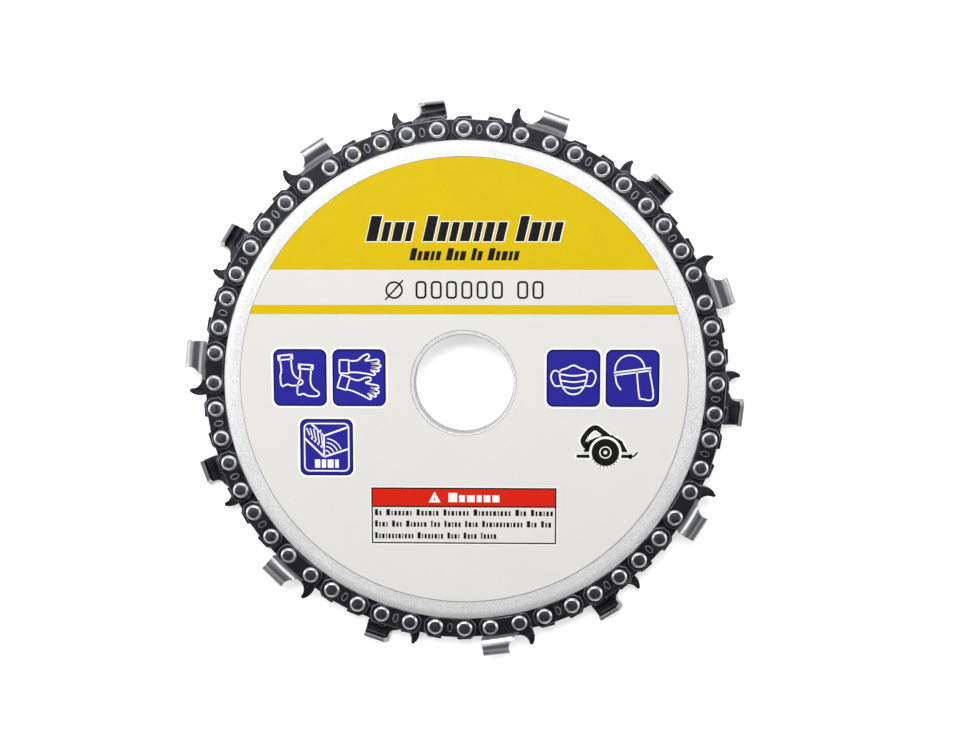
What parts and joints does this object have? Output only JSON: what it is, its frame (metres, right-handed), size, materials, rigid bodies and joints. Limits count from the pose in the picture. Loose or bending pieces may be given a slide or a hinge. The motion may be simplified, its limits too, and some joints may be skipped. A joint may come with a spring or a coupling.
{
  "type": "angle grinder carving disc",
  "caption": "Wood carving disc for an angle grinder: a saw chain running in the groove between two labelled steel plates, with a plain bore.",
  "frame": {"origin": "centre of the bore, on the middle plane of the chain", "axes": "+Z along the bore, out of the labelled face; +Y to the top of the label; +X to the label's right"},
  "size_m": [0.1264, 0.1264, 0.0063],
  "materials": {
    "plate_steel": "bright zinc-plated steel, fine grain",
    "core_steel": "plain steel sheet",
    "label_film": "printed film, yellow over white",
    "screw_steel": "black oxide",
    "cutter_chrome": "dark hard-chromed steel with bright ground edges",
    "strap_steel": "blued steel, oiled",
    "drive_steel": "blued steel, oiled",
    "rivet_steel": "blued rivets with a bright spun edge"
  },
  "bodies": {
    "disc": {"front_plate": "plate_steel", "rear_plate": "plate_steel", "core_plate": "core_steel", "label": "label_film", "plate_screws": "screw_steel"},
    "chain": {"front_cutter_1": "cutter_chrome", "front_cutter_2": "cutter_chrome", "front_cutter_3": "cutter_chrome", "front_cutter_4": "cutter_chrome", "front_cutter_5": "cutter_chrome", "front_cutter_6": "cutter_chrome", "front_cutter_7": "cutter_chrome", "rear_cutter_1": "cutter_chrome", "rear_cutter_2": "cutter_chrome", "rear_cutter_3": "cutter_chrome", "rear_cutter_4": "cutter_chrome", "rear_cutter_5": "cutter_chrome", "rear_cutter_6": "cutter_chrome", "rear_cutter_7": "cutter_chrome", "drive_link_1": "drive_steel", "drive_link_2": "drive_steel", "drive_link_3": "drive_steel", "drive_link_4": "drive_steel", "drive_link_5": "drive_steel", "drive_link_6": "drive_steel", "drive_link_7": "drive_steel", "drive_link_8": "drive_steel", "drive_link_9": "drive_steel", "drive_link_10": "drive_steel", "drive_link_11": "drive_steel", "drive_link_12": "drive_steel", "drive_link_13": "drive_steel", "drive_link_14": "drive_steel", "drive_link_15": "drive_steel", "drive_link_16": "drive_steel", "drive_link_17": "drive_steel", "drive_link_18": "drive_steel", "drive_link_19": "drive_steel", "drive_link_20": "drive_steel", "drive_link_21": "drive_steel", "drive_link_22": "drive_steel", "drive_link_23": "drive_steel", "drive_link_24": "drive_steel", "drive_link_25": "drive_steel", "drive_link_26": "drive_steel", "drive_link_27": "drive_steel", "drive_link_28": "drive_steel", "front_tie_straps": "strap_steel", "rear_tie_straps": "strap_steel", "rivets": "rivet_steel"}
  },
  "joints": [
    {"name": "chain_slip", "type": "hinge", "parent": "disc", "child": "chain", "pos_m": [0, 0, 0], "axis": [0, 0, 1], "continuous": true}
  ]
}
